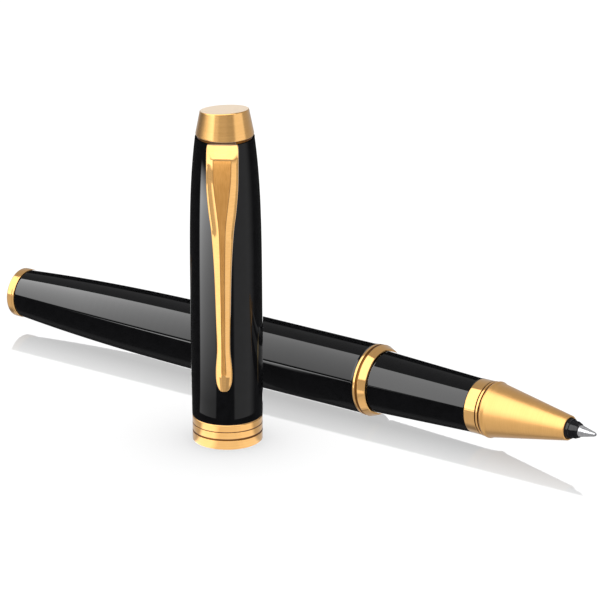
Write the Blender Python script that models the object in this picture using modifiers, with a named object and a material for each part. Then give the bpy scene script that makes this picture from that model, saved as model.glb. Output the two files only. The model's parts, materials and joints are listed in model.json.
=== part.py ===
"""Rollerball pen with its cap off: the pen lies along +X and the cap stands on its mouth beside it.

Lengths below are millimetres. Stations along the pen are measured from the tail's end face, and
heights in the cap from its mouth. Every turned piece is a profile of (radius, height) points, where
a third number rounds that corner, spun about its own Z axis.
"""

import math

import bmesh
import bpy
from mathutils import Vector

MM = 0.001

# Layout of the two halves on the floor
PEN_LENGTH = 121.25
PEN_Y = 12.406
CAP_X = 2.03
CAP_Y = PEN_Y - 23.2
CLIP_ANGLE = -57.4

# Barrel, from the tail to the joint with the section
BARREL_START = 1.8
BARREL_END = 76.0
BARREL_RADII = (4.21, 5.64, 6.03, 6.07)
TAIL_RADIUS = 4.3
RING_RADIUS = 6.22
RING_FRONT_RADIUS = 5.65
RING_WIDTH = 2.3
RING_BORE = 4.75
RING_SPIGOT = 4.0
SEAT_STATION = 7.4
SLEEVE_START = 60.05
SLEEVE_END = BARREL_END - 4.0
SLEEVE_RADIUS = 5.3

# Section: bushing, grip, collar and cone
BUSHING_START = 62.0
BUSHING_END = 103.5
BUSHING_RADIUS = 4.45
GRIP_BORE = 3.9
GRIP_START = BARREL_END + RING_WIDTH + 0.1
GRIP_END = 97.75
GRIP_REAR_RADIUS = 5.32
GRIP_FRONT_RADIUS = 4.63
COLLAR_START = 97.8
CONE_START = 100.8
CONE_END = 116.0
CONE_REAR_RADIUS = 4.6
CONE_FRONT_RADIUS = 2.09
THREAD_PITCH = 0.8
THREAD_TURNS = 5.0
THREAD_START = 63.6

# Refill of the common large rollerball size
REFILL_LENGTH = 110.5
REFILL_START = PEN_LENGTH - REFILL_LENGTH
REFILL_RADIUS = 3.05
REFILL_BORE = 2.6
TUBE_END = 99.0
POINT_START = 118.05
BALL_RADIUS = 0.25
BALL_STATION = PEN_LENGTH - BALL_RADIUS

# Cap
BAND_HEIGHT = 4.35
BAND_RADIUS = 5.9
CAP_RADIUS = 6.03
CAP_WIDEST = 22.0
CAP_TOP = 53.2
CAP_TOP_RADIUS = 4.96
CAP_SHOULDER = 3.8
CAP_BORE = 5.3
LINER_START = 14.0
LINER_TOP = 45.5
SNAP_HEIGHT = 20.9
FINIAL_START = 53.67
FINIAL_TOP = 58.6
FINIAL_BASE_RADIUS = 4.97
FINIAL_TOP_RADIUS = 4.01
FINIAL_FACE = 57.85
FINIAL_TILT = 7.7
FINIAL_TURN = 24.4
FINIAL_BORE_DEPTH = 2.4
SCREW_RADIUS = 1.3

# Clip: height in the cap, inside face's distance from the cap's axis, thickness, half width
CLIP_STATIONS = (
    (53.5, 5.14, 0.45, 2.45),
    (52.9, 5.22, 0.78, 2.62),
    (50.5, 5.85, 1.0, 2.66),
    (46.5, 6.5, 1.05, 2.62),
    (42.5, 6.75, 1.05, 2.3),
    (38.5, 6.88, 1.05, 1.82),
    (32.0, 6.95, 1.05, 1.42),
    (24.0, 6.92, 1.0, 1.2),
    (18.5, 6.75, 1.0, 1.1),
    (14.8, 6.2, 1.1, 1.36),
    (12.6, 6.15, 1.05, 1.3),
    (11.4, 6.4, 0.8, 0.9),
    (11.0, 6.6, 0.6, 0.5),
)
CLIP_PIVOT = (5.3, 53.35)

GAP = 0.05
FINE = 40
COARSE = 24

# Finish name: colour, roughness, metallic
FINISHES = {
    "black_lacquer": ((0.008, 0.008, 0.010), 0.08, 0.0),
    "polished_gold": ((0.84, 0.58, 0.27), 0.12, 1.0),
    "satin_gold": ((0.82, 0.58, 0.30), 0.34, 1.0),
    "brass": ((0.71, 0.56, 0.27), 0.35, 1.0),
    "steel": ((0.62, 0.62, 0.63), 0.28, 1.0),
    "black_plastic": ((0.012, 0.012, 0.013), 0.35, 0.0),
    "white_plastic": ((0.78, 0.78, 0.75), 0.4, 0.0),
    "wick": ((0.05, 0.06, 0.16), 0.85, 0.0),
    "carbide": ((0.16, 0.16, 0.18), 0.2, 1.0),
}


def clear_scene():
    for obj in list(bpy.data.objects):
        bpy.data.objects.remove(obj)


def new_collection(name):
    collection = bpy.data.collections.new(name)
    bpy.context.scene.collection.children.link(collection)
    return collection


def new_empty(name, location, rotation):
    empty = bpy.data.objects.new(name, None)
    empty.location = Vector(location) * MM
    empty.rotation_euler = [math.radians(angle) for angle in rotation]
    empty.empty_display_size = 0.01
    pen_parts.objects.link(empty)
    return empty


def finished(obj, finish):
    """The object with a material of its own."""
    colour, roughness, metallic = FINISHES[finish]
    material = bpy.data.materials.new(f"{obj.name}_{finish}")
    material.use_nodes = True
    shader = material.node_tree.nodes["Principled BSDF"]
    shader.inputs["Base Color"].default_value = (*colour, 1.0)
    shader.inputs["Roughness"].default_value = roughness
    shader.inputs["Metallic"].default_value = metallic
    material.diffuse_color = (*colour, 1.0)
    obj.data.materials.clear()
    obj.data.materials.append(material)
    return obj


def placed(obj, parent, height):
    """The object in the pen's collection, on its parent's axis at a height along it."""
    pen_parts.objects.link(obj)
    obj.parent = parent
    obj.location = (0.0, 0.0, height * MM)
    return obj


def rounded(profile, steps=2):
    """The profile with every corner that has a third number turned into an arc of that radius."""
    points = []
    for i, corner in enumerate(profile):
        here = Vector(corner[:2])
        if len(corner) == 2:
            points.append(here)
            continue
        back = (Vector(profile[i - 1][:2]) - here).normalized()
        ahead = (Vector(profile[(i + 1) % len(profile)][:2]) - here).normalized()
        half = back.angle(ahead) / 2
        reach = corner[2] / math.tan(half)
        centre = here + (back + ahead).normalized() * (corner[2] / math.sin(half))
        start = here + back * reach - centre
        sweep = start.angle_signed(here + ahead * reach - centre)
        for step in range(steps + 1):
            turn = -sweep * step / steps
            cos, sin = math.cos(turn), math.sin(turn)
            points.append(centre + Vector((start.x * cos - start.y * sin, start.x * sin + start.y * cos)))
    return points


def turned(name, parent, height, profile, finish, closed=True, sides=FINE):
    """A profile of (radius, height[, corner radius]) spun about Z. An open one starts and ends on the axis."""
    points = rounded(profile)
    loop = points + points[:1]
    area = sum(a.x * b.y - b.x * a.y for a, b in zip(loop, loop[1:]))
    if area > 0:
        points.reverse()
    mesh = bpy.data.meshes.new(name)
    edges = [(i, i + 1) for i in range(len(points) - 1)]
    if closed:
        edges.append((len(points) - 1, 0))
    mesh.from_pydata([(p.x * MM, 0.0, p.y * MM) for p in points], edges, [])
    obj = placed(bpy.data.objects.new(name, mesh), parent, height)
    screw = obj.modifiers.new("Screw", "SCREW")
    screw.axis = "Z"
    screw.angle = math.tau
    screw.steps = sides
    screw.render_steps = sides
    screw.use_merge_vertices = True
    screw.merge_threshold = 1e-6
    screw.use_smooth_shade = True
    return finished(obj, finish)


def lofted(name, parent, loops, finish):
    """A closed solid through equal loops of points, capped at both ends."""
    bm = bmesh.new()
    rings = [[bm.verts.new(Vector(p) * MM) for p in loop] for loop in loops]
    for a, b in zip(rings, rings[1:]):
        for i in range(len(a)):
            j = (i + 1) % len(a)
            bm.faces.new((a[i], a[j], b[j], b[i]))
    bm.faces.new(reversed(rings[0]))
    bm.faces.new(rings[-1])
    bmesh.ops.recalc_face_normals(bm, faces=bm.faces)
    mesh = bpy.data.meshes.new(name)
    bm.to_mesh(mesh)
    bm.free()
    return finished(placed(bpy.data.objects.new(name, mesh), parent, 0.0), finish)


def wire_curve(name, points, thickness, resolution):
    """A round or four-sided wire along a list of points, as a curve object."""
    curve = bpy.data.curves.new(name, "CURVE")
    curve.dimensions = "3D"
    curve.bevel_depth = thickness / 2 * MM
    curve.bevel_resolution = resolution
    curve.use_fill_caps = True
    spline = curve.splines.new("POLY")
    spline.points.add(len(points) - 1)
    for spot, point in zip(spline.points, points):
        spot.co = (*(Vector(point) * MM), 1.0)
    return bpy.data.objects.new(name, curve)


def helix(radius, pitch, turns, start, sides):
    """Points along a helix about Z that climbs from a start height."""
    count = round(turns * sides)
    points = []
    for i in range(count + 1):
        angle = math.tau * i / sides
        points.append((radius * math.cos(angle), radius * math.sin(angle), start + pitch * i / sides))
    return points


def cutter_from(obj, parent, height):
    """A mesh copy of an object, for a Boolean, among the cutters."""
    cutters.objects.link(obj)
    bpy.context.view_layer.update()
    graph = bpy.context.evaluated_depsgraph_get()
    mesh = bpy.data.meshes.new_from_object(obj.evaluated_get(graph))
    bm = bmesh.new()
    bm.from_mesh(mesh)
    bmesh.ops.remove_doubles(bm, verts=bm.verts, dist=1e-7)
    bm.to_mesh(mesh)
    bm.free()
    cutter = bpy.data.objects.new(f"{obj.name}_mesh", mesh)
    bpy.data.objects.remove(obj)
    cutters.objects.link(cutter)
    cutter.parent = parent
    cutter.location = (0.0, 0.0, height * MM)
    cutter.hide_render = True
    cutter.display_type = "WIRE"
    return cutter


def combined(obj, cutter, operation):
    boolean = obj.modifiers.new("Boolean", "BOOLEAN")
    boolean.operation = operation
    boolean.solver = "EXACT"
    boolean.object = cutter
    return obj


def box_object(name, size, centre):
    bm = bmesh.new()
    bmesh.ops.create_cube(bm, size=1.0)
    bmesh.ops.scale(bm, vec=Vector(size) * MM, verts=bm.verts)
    bmesh.ops.translate(bm, vec=Vector(centre) * MM, verts=bm.verts)
    mesh = bpy.data.meshes.new(name)
    bm.to_mesh(mesh)
    bm.free()
    return bpy.data.objects.new(name, mesh)


def slotted(screw, parent, height, head_face, depth):
    """The screw with a driver slot cut across its head, from one side of the head's face."""
    slot = box_object(f"{screw.name}_slot", (8.0, 0.8, abs(depth) * 2), (0.0, 0.0, head_face))
    return combined(screw, cutter_from(slot, parent, height), "DIFFERENCE")


def barrel_radius(t):
    """Outside radius at a fraction t of the barrel: the cubic through its four driving radii."""
    total = 0.0
    for i, radius in enumerate(BARREL_RADII):
        weight = 1.0
        for j in range(len(BARREL_RADII)):
            if j != i:
                weight *= (3 * t - j) / (i - j)
        total += weight * radius
    return total


def cap_tube_radius(z):
    """Outside radius of the cap's tube: a slight belly, then a shoulder that rounds in to the finial."""
    if z < CAP_WIDEST:
        drop = ((CAP_WIDEST - z) / (CAP_WIDEST - BAND_HEIGHT)) ** 2
        return CAP_RADIUS - (CAP_RADIUS - BAND_RADIUS) * drop
    drop = ((z - CAP_WIDEST) / (CAP_TOP - CAP_WIDEST)) ** CAP_SHOULDER
    return CAP_RADIUS - (CAP_RADIUS - CAP_TOP_RADIUS) * drop


# ---------------------------------------------------------------- barrel


def barrel_tube():
    length = BARREL_END - BARREL_START
    samples = 18
    outside = [(barrel_radius(i / samples), length * i / samples) for i in range(samples + 1)]
    counterbore = SLEEVE_START - GAP - BARREL_START
    end_wall = 4.2
    inside = [
        (SLEEVE_RADIUS + GAP, length),
        (SLEEVE_RADIUS + GAP, counterbore),
        (3.55, counterbore),
        (3.55, end_wall),
        (2.45, end_wall),
        (2.45, 0.0),
    ]
    turned("barrel_tube", pen_axis, BARREL_START, outside + inside, "black_lacquer")


def tail_cap():
    face = BARREL_START - GAP
    profile = [
        (0.0, 0.0),
        (TAIL_RADIUS, 0.0, 0.4),
        (TAIL_RADIUS, 1.26),
        (TAIL_RADIUS - 0.08, 1.33),
        (TAIL_RADIUS, 1.4),
        (TAIL_RADIUS, face, 0.1),
        (2.4, face),
        (2.4, 5.9),
        (SCREW_RADIUS + GAP, 5.9),
        (SCREW_RADIUS + GAP, 2.3),
        (0.0, 2.3),
    ]
    turned("tail_cap", pen_axis, 0.0, profile, "polished_gold", closed=False)


def tail_screw():
    start = 2.6
    under_head = 3.45
    top = 4.75
    profile = [
        (0.0, 0.0),
        (SCREW_RADIUS, 0.0, 0.2),
        (SCREW_RADIUS, under_head),
        (3.0, under_head),
        (3.0, top, 0.3),
        (0.0, top),
    ]
    screw = turned("tail_screw", pen_axis, start, profile, "steel", closed=False, sides=COARSE)
    slotted(screw, pen_axis, start, top, 0.6)


def spring_seat():
    profile = [(0.0, 0.0), (3.3, 0.0), (3.3, 0.8), (1.5, 0.8), (1.5, 2.2, 0.3), (0.0, 2.2)]
    turned("spring_seat", pen_axis, SEAT_STATION, profile, "white_plastic", closed=False, sides=COARSE)


def refill_spring():
    wire = 0.5
    start = SEAT_STATION + 0.8 + GAP + wire / 2
    end = REFILL_START - GAP - wire / 2
    turns = 3.0
    points = helix(2.1, (end - start) / turns, turns, 0.0, 20)
    spring = placed(wire_curve("refill_spring", points, wire, 2), pen_axis, start)
    finished(spring, "steel")


def barrel_sleeve():
    length = SLEEVE_END - SLEEVE_START
    bore = BUSHING_RADIUS + 0.1
    profile = [(SLEEVE_RADIUS, 0.0), (SLEEVE_RADIUS, length), (bore, length), (bore, 0.0)]
    sleeve = turned("barrel_sleeve", pen_axis, SLEEVE_START, profile, "brass", sides=COARSE)
    turns = (SLEEVE_END - THREAD_START) / THREAD_PITCH
    groove = helix(bore - 0.05, THREAD_PITCH, turns + 2.0, -THREAD_PITCH, COARSE)
    cutter = cutter_from(wire_curve("sleeve_thread", groove, 0.66, 0), pen_axis, THREAD_START)
    combined(sleeve, cutter, "DIFFERENCE")


def centre_ring():
    """Narrow rear lip, a cut groove and a tapered front band, on a spigot pressed into the barrel."""
    lip = RING_RADIUS - 0.05
    groove = RING_RADIUS - 0.24
    profile = [
        (SLEEVE_RADIUS, -RING_SPIGOT),
        (SLEEVE_RADIUS, 0.0),
        (lip, 0.0, 0.12),
        (lip, 0.45, 0.06),
        (groove, 0.6),
        (groove, 1.05),
        (RING_RADIUS, 1.25, 0.08),
        (RING_FRONT_RADIUS, RING_WIDTH, 0.12),
        (RING_BORE, RING_WIDTH),
        (RING_BORE, -RING_SPIGOT),
    ]
    turned("centre_ring", pen_axis, BARREL_END + GAP, profile, "polished_gold")


# ---------------------------------------------------------------- section


def section_bushing():
    length = BUSHING_END - BUSHING_START
    neck = GRIP_START - BUSHING_START - GAP
    bore = REFILL_RADIUS + 0.15
    profile = [
        (BUSHING_RADIUS, 0.0, 0.2),
        (BUSHING_RADIUS, neck),
        (GRIP_BORE - GAP, neck),
        (GRIP_BORE - GAP, length),
        (bore, length),
        (bore, 0.0),
    ]
    bushing = turned("section_bushing", section_axis, BUSHING_START, profile, "brass", sides=COARSE)
    ridge = helix(BUSHING_RADIUS, THREAD_PITCH, THREAD_TURNS, 0.0, COARSE)
    cutter = cutter_from(wire_curve("bushing_thread", ridge, 0.36, 0), section_axis, THREAD_START)
    combined(bushing, cutter, "UNION")


def grip_sleeve():
    length = GRIP_END - GRIP_START
    profile = [
        (GRIP_REAR_RADIUS, 0.0, 0.15),
        (GRIP_FRONT_RADIUS, length, 0.05),
        (GRIP_BORE, length),
        (GRIP_BORE, 0.0),
    ]
    turned("grip_sleeve", section_axis, GRIP_START, profile, "black_lacquer")


def nose_collar():
    radius = GRIP_FRONT_RADIUS
    groove = radius - 0.2
    bead = radius + 0.07
    length = CONE_START - COLLAR_START - GAP
    profile = [
        (radius, 0.0, 0.06),
        (radius + 0.02, 2.15, 0.05),
        (groove, 2.22),
        (groove, 2.32),
        (bead, 2.38, 0.1),
        (bead, 2.78, 0.1),
        (groove, 2.84),
        (groove, length),
        (GRIP_BORE, length),
        (GRIP_BORE, 0.0),
    ]
    turned("nose_collar", section_axis, COLLAR_START, profile, "polished_gold")


def nose_cone():
    length = CONE_END - CONE_START
    rim = 4.85
    mouth = 1.84
    socket = BUSHING_END - CONE_START + GAP
    profile = [
        (rim - 0.1, 0.0, 0.12),
        (rim, 0.35, 0.15),
        (CONE_REAR_RADIUS + 0.04, 0.85, 0.2),
        (CONE_FRONT_RADIUS, length, 0.1),
        (mouth, length),
        (mouth, 12.2),
        (2.4, 9.2),
        (3.2, 3.7),
        (3.2, socket),
        (GRIP_BORE, socket),
        (GRIP_BORE, 0.0),
    ]
    turned("nose_cone", section_axis, CONE_START, profile, "satin_gold")


# ---------------------------------------------------------------- refill


def refill_plug():
    flange = 0.95
    profile = [(0.0, 0.0), (2.9, 0.0, 0.25), (2.9, flange), (2.55, flange), (2.55, 4.1, 0.2), (0.0, 4.1)]
    turned("refill_plug", refill_axis, REFILL_START, profile, "black_plastic", closed=False, sides=COARSE)


def refill_tube():
    start = REFILL_START + 1.0
    length = TUBE_END - start
    profile = [(REFILL_RADIUS, 0.0), (REFILL_RADIUS, length), (REFILL_BORE, length), (REFILL_BORE, 0.0)]
    turned("refill_tube", refill_axis, start, profile, "white_plastic", sides=COARSE)


def ink_wick():
    start = REFILL_START + 4.2
    length = 97.3 - start
    radius = REFILL_BORE - 0.1
    profile = [(0.0, 0.0), (radius, 0.0, 0.4), (radius, length, 0.4), (0.0, length)]
    turned("ink_wick", refill_axis, start, profile, "wick", closed=False, sides=COARSE)


def refill_nose():
    """Black plastic front of the refill: it plugs the tube, fills the cone and holds the steel point."""
    start = 97.4
    profile = [
        (2.55, 0.0),
        (2.55, TUBE_END - start + GAP),
        (REFILL_RADIUS, TUBE_END - start + GAP),
        (REFILL_RADIUS, 6.0),
        (2.88, 6.7),
        (2.2, 12.3),
        (1.72, 15.4),
        (1.72, 18.7, 0.1),
        (1.16, POINT_START - start, 0.06),
        (0.64, POINT_START - start),
        (0.64, 18.6),
        (0.5, 18.6),
        (0.5, 0.0),
    ]
    turned("refill_nose", refill_axis, start, profile, "black_plastic", sides=COARSE)


def ink_feed():
    length = 18.3
    profile = [(0.0, 0.0), (0.44, 0.0), (0.44, length, 0.1), (0.0, length)]
    turned("ink_feed", refill_axis, 97.5, profile, "wick", closed=False, sides=16)


def steel_point():
    start = 116.1
    base = POINT_START + GAP - start
    tip = BALL_STATION + 0.06 - start
    profile = [
        (0.58, 0.0),
        (0.58, base),
        (0.97, base, 0.05),
        (0.99, base + 0.3),
        (0.36, tip),
        (0.29, tip),
        (0.29, tip - 0.42),
        (0.15, tip - 0.5),
        (0.15, 0.0),
    ]
    turned("steel_point", refill_axis, start, profile, "steel", sides=COARSE)


def tip_ball():
    bm = bmesh.new()
    bmesh.ops.create_uvsphere(bm, u_segments=16, v_segments=10, radius=BALL_RADIUS * MM)
    mesh = bpy.data.meshes.new("tip_ball")
    bm.to_mesh(mesh)
    bm.free()
    mesh.shade_smooth()
    ball = placed(bpy.data.objects.new("tip_ball", mesh), ball_axis, 0.0)
    finished(ball, "carbide")


# ---------------------------------------------------------------- cap


def cap_band():
    bore = GRIP_REAR_RADIUS + 0.13
    spigot_top = 7.4
    groove = 0.07
    profile = [
        (BAND_RADIUS, 0.0, 0.14),
        (BAND_RADIUS, 1.6),
        (BAND_RADIUS - groove, 1.68),
        (BAND_RADIUS - groove, 1.82),
        (BAND_RADIUS, 1.9),
        (BAND_RADIUS, 3.04),
        (BAND_RADIUS - groove, 3.1),
        (BAND_RADIUS, 3.16),
        (BAND_RADIUS, BAND_HEIGHT, 0.12),
        (5.55, BAND_HEIGHT),
        (5.55, spigot_top),
        (5.28, spigot_top),
        (bore, BAND_HEIGHT - 0.4),
        (bore, 0.0, 0.1),
    ]
    turned("cap_band", cap_axis, 0.0, profile, "polished_gold")


def cap_tube():
    start = BAND_HEIGHT + GAP
    samples = 15
    outside = []
    for i in range(samples + 1):
        z = start + (CAP_TOP - start) * math.sin(math.pi / 2 * i / samples)
        outside.append((cap_tube_radius(z), z - start))
    inside = [
        (SCREW_RADIUS + 0.3, CAP_TOP - start),
        (SCREW_RADIUS + 0.3, 49.2 - start),
        (3.6, 49.2 - start),
        (CAP_BORE, 46.0 - start),
        (CAP_BORE, 7.45 - start),
        (5.6, 7.45 - start),
        (5.6, 0.0),
    ]
    turned("cap_tube", cap_axis, start, outside + inside, "black_lacquer")


def cap_liner():
    """Inner cap: guides the section in and closes over the point."""
    height = LINER_TOP - LINER_START
    outside = CAP_BORE - GAP
    bore = 4.95
    snap = SNAP_HEIGHT - LINER_START
    profile = [
        (0.0, height),
        (4.3, height),
        (outside, height - 1.5),
        (outside, 0.0),
        (bore, 0.0, 0.1),
        (bore, snap - 0.25),
        (bore + 0.17, snap - 0.25),
        (bore + 0.17, snap + 0.25),
        (bore, snap + 0.25),
        (bore, 10.5),
        (2.6, height - 1.5),
        (0.0, height - 1.5),
    ]
    turned("cap_liner", cap_axis, LINER_START, profile, "black_plastic", closed=False, sides=COARSE)


def snap_ring():
    wire = 0.3
    gap_angle = 30.0
    steps = 30
    points = []
    for i in range(steps + 1):
        angle = math.radians(gap_angle / 2 + (360.0 - gap_angle) * i / steps)
        points.append((4.9 * math.cos(angle), 4.9 * math.sin(angle), 0.0))
    ring = placed(wire_curve("snap_ring", points, wire, 1), cap_axis, SNAP_HEIGHT)
    finished(ring, "steel")


def clip_ring():
    """Flat washer held under the finial, with the tab that carries the clip."""
    thickness = 0.4
    radius = 4.6
    tab_half_width = 2.1
    tab_end = 5.05
    start = math.asin(tab_half_width / radius)
    steps = 40
    outline = [(tab_end, -tab_half_width), (tab_end, tab_half_width)]
    for i in range(steps + 1):
        angle = start + (math.tau - 2 * start) * i / steps
        outline.append((radius * math.cos(angle), radius * math.sin(angle)))
    hole_sides = 24
    hole_radius = SCREW_RADIUS + 0.35
    hole = []
    for i in range(hole_sides):
        angle = math.tau * i / hole_sides
        hole.append((hole_radius * math.cos(angle), hole_radius * math.sin(angle)))
    curve = bpy.data.curves.new("clip_ring", "CURVE")
    curve.dimensions = "2D"
    curve.fill_mode = "BOTH"
    curve.extrude = thickness / 2 * MM
    for outline_points in (outline, hole):
        spline = curve.splines.new("POLY")
        spline.points.add(len(outline_points) - 1)
        spline.use_cyclic_u = True
        for spot, (x, y) in zip(spline.points, outline_points):
            spot.co = (x * MM, y * MM, 0.0, 1.0)
    ring = bpy.data.objects.new("clip_ring", curve)
    placed(ring, cap_axis, CAP_TOP + 0.02 + thickness / 2)
    finished(ring, "brass")


def cap_finial():
    """Tapered end piece whose top is cut off at a slant, higher on the clip's side."""
    height = FINIAL_TOP - FINIAL_START
    bore = SCREW_RADIUS + GAP
    profile = [
        (0.0, height),
        (FINIAL_TOP_RADIUS, height),
        (FINIAL_BASE_RADIUS, 0.0, 0.3),
        (bore, 0.0),
        (bore, FINIAL_BORE_DEPTH),
        (0.0, FINIAL_BORE_DEPTH),
    ]
    finial = turned("cap_finial", cap_axis, FINIAL_START, profile, "polished_gold", closed=False)
    depth = 4.0
    slab = box_object("finial_slant", (14.0, 14.0, depth), (0.0, 0.0, depth / 2))
    cutter = cutter_from(slab, cap_axis, FINIAL_FACE)
    cutter.rotation_euler = (0.0, -math.radians(FINIAL_TILT), math.radians(FINIAL_TURN))
    combined(finial, cutter, "DIFFERENCE")


def finial_screw():
    start = 47.4
    head = 49.15 - start
    length = FINIAL_START + FINIAL_BORE_DEPTH - 0.25 - start
    profile = [
        (0.0, 0.0),
        (3.2, 0.0, 0.3),
        (3.2, head),
        (SCREW_RADIUS, head),
        (SCREW_RADIUS, length, 0.2),
        (0.0, length),
    ]
    screw = turned("finial_screw", cap_axis, start, profile, "steel", closed=False, sides=COARSE)
    slotted(screw, cap_axis, start, 0.0, 0.6)


def clip_at(t):
    """Station values at a fraction t of the clip's length, on a Catmull-Rom curve through the stations."""
    span = t * (len(CLIP_STATIONS) - 1)
    i = min(int(span), len(CLIP_STATIONS) - 2)
    u = span - i
    p1 = Vector(CLIP_STATIONS[i])
    p2 = Vector(CLIP_STATIONS[i + 1])
    p0 = Vector(CLIP_STATIONS[i - 1]) if i > 0 else p1
    p3 = Vector(CLIP_STATIONS[i + 2]) if i + 2 < len(CLIP_STATIONS) else p2
    return 0.5 * (
        2 * p1
        + (p2 - p0) * u
        + (2 * p0 - 5 * p1 + 4 * p2 - p3) * u**2
        + (3 * p1 - p0 - 3 * p2 + p3) * u**3
    )


def clip():
    """A plain tapering bar that hangs from the tab, touches the tube near its foot and ends round."""
    samples = 36
    crown = 0.16
    across = 5
    loops = []
    for i in range(samples + 1):
        z, inside, thickness, half = clip_at(i / samples)
        corner = min(0.3, half * 0.4, thickness * 0.4)
        outer = inside + thickness
        loop = [(inside, -half), (outer - corner, -half)]
        for k in range(across):
            y = (half - corner) * (2 * k / (across - 1) - 1)
            loop.append((outer + crown * (1 - (y / half) ** 2), y))
        loop += [(outer - corner, half), (inside, half)]
        loops.append([(x - CLIP_PIVOT[0], y, z - CLIP_PIVOT[1]) for x, y in loop])
    lofted("clip", clip_root, loops, "polished_gold")


clear_scene()
pen_parts = new_collection("rollerball_pen")
cutters = new_collection("cutters")

PEN_ORIGIN = (-PEN_LENGTH / 2, PEN_Y, RING_RADIUS)
ALONG_X = (0.0, 90.0, 0.0)
pen_axis = new_empty("pen_axis", PEN_ORIGIN, ALONG_X)
section_axis = new_empty("section_axis", PEN_ORIGIN, ALONG_X)
refill_axis = new_empty("refill_axis", PEN_ORIGIN, ALONG_X)
ball_axis = new_empty("ball_axis", (PEN_LENGTH / 2 - BALL_RADIUS, PEN_Y, RING_RADIUS), ALONG_X)
cap_axis = new_empty("cap_axis", (CAP_X, CAP_Y, 0.0), (0.0, 0.0, CLIP_ANGLE))
clip_root = new_empty("clip_root", (CLIP_PIVOT[0], 0.0, CLIP_PIVOT[1]), (0.0, 0.0, 0.0))
clip_root.parent = cap_axis

PIECES = (
    barrel_tube,
    tail_cap,
    tail_screw,
    spring_seat,
    refill_spring,
    barrel_sleeve,
    centre_ring,
    section_bushing,
    grip_sleeve,
    nose_collar,
    nose_cone,
    refill_plug,
    refill_tube,
    ink_wick,
    refill_nose,
    ink_feed,
    steel_point,
    tip_ball,
    cap_band,
    cap_tube,
    cap_liner,
    snap_ring,
    clip_ring,
    cap_finial,
    finial_screw,
    clip,
)
for piece in PIECES:
    piece()
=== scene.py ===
"""Looks of the rollerball pen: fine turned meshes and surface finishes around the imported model.

Profiles are millimetres, as (radius, station[, corner radius]) from the tail's end face along the pen, and
from the mouth up the cap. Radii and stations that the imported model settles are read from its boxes.
The studio is staged for the photo's view: lacquer, metal and the floor's mirror each see their own light.
"""

import json
import math

import bmesh
import bpy
from mathutils import Matrix, Vector

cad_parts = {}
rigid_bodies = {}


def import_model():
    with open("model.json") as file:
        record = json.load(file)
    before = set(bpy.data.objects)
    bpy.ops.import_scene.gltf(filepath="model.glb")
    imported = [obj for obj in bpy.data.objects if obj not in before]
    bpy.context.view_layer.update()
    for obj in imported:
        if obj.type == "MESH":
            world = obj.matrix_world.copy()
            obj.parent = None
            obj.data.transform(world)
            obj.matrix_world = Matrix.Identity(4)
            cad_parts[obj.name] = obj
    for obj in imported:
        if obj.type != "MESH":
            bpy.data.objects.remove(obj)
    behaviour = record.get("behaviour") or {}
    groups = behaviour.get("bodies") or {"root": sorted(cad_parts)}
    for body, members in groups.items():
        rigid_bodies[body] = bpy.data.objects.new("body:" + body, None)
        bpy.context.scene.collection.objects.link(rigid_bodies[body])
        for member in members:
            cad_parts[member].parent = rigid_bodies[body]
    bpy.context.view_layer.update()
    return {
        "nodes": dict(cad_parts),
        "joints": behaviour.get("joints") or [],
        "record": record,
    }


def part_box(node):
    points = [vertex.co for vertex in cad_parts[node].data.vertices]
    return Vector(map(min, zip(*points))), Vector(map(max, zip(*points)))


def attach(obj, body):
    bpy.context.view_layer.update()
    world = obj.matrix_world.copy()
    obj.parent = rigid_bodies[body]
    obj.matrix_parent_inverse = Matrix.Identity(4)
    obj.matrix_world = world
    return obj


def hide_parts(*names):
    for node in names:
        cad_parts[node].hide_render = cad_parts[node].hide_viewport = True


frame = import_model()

MM = 0.001
SIDES = 160
ARC_STEPS = 6
SHARP = math.radians(32)
ON_AXIS = 1e-6

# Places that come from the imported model
TAIL_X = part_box("tail_cap")[0].x
RING_LOW, RING_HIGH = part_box("centre_ring")
CAP_LOW, CAP_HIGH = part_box("cap_tube")
CLIP_AXIS = next(j for j in frame["joints"] if j["name"] == "clip_flex")["axis"]
CLIP_TURN = math.atan2(CLIP_AXIS[0], -CLIP_AXIS[1])
PEN_ORIGIN = Vector((TAIL_X, (RING_LOW.y + RING_HIGH.y) / 2, (RING_LOW.z + RING_HIGH.z) / 2))
CAP_ORIGIN = Vector(((CAP_LOW.x + CAP_HIGH.x) / 2, (CAP_LOW.y + CAP_HIGH.y) / 2, 0.0))
PEN_FRAME = Matrix.Translation(PEN_ORIGIN) @ Matrix.Rotation(math.pi / 2, 4, "Y")
CAP_FRAME = Matrix.Translation(CAP_ORIGIN) @ Matrix.Rotation(CLIP_TURN, 4, "Z")


def along(node):
    """First and last station of a pen node, in millimetres from the tail."""
    low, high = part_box(node)
    return (low.x - TAIL_X) / MM, (high.x - TAIL_X) / MM


def upward(node):
    """Lowest and highest height of a cap node, in millimetres from the floor."""
    low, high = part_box(node)
    return low.z / MM, high.z / MM


def widest(node):
    """Half of a node's width across the pen, in millimetres."""
    low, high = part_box(node)
    return (high.y - low.y) / 2 / MM


# ---------------------------------------------------------------- shader nodes


def new_tree(name, kind):
    """A new material or world with an empty node tree."""
    block = bpy.data.materials.new(name) if kind == "material" else bpy.data.worlds.new(name)
    block.use_nodes = True
    block.node_tree.nodes.clear()
    return block, block.node_tree


def feed(tree, socket, value):
    """Link a socket, or set a plain number, colour or vector."""
    if isinstance(value, bpy.types.NodeSocket):
        tree.links.new(value, socket)
    else:
        socket.default_value = value


def calc(tree, operation, *values):
    node = tree.nodes.new("ShaderNodeMath")
    node.operation = operation
    for socket, value in zip(node.inputs, values):
        feed(tree, socket, value)
    return node.outputs[0]


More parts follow.
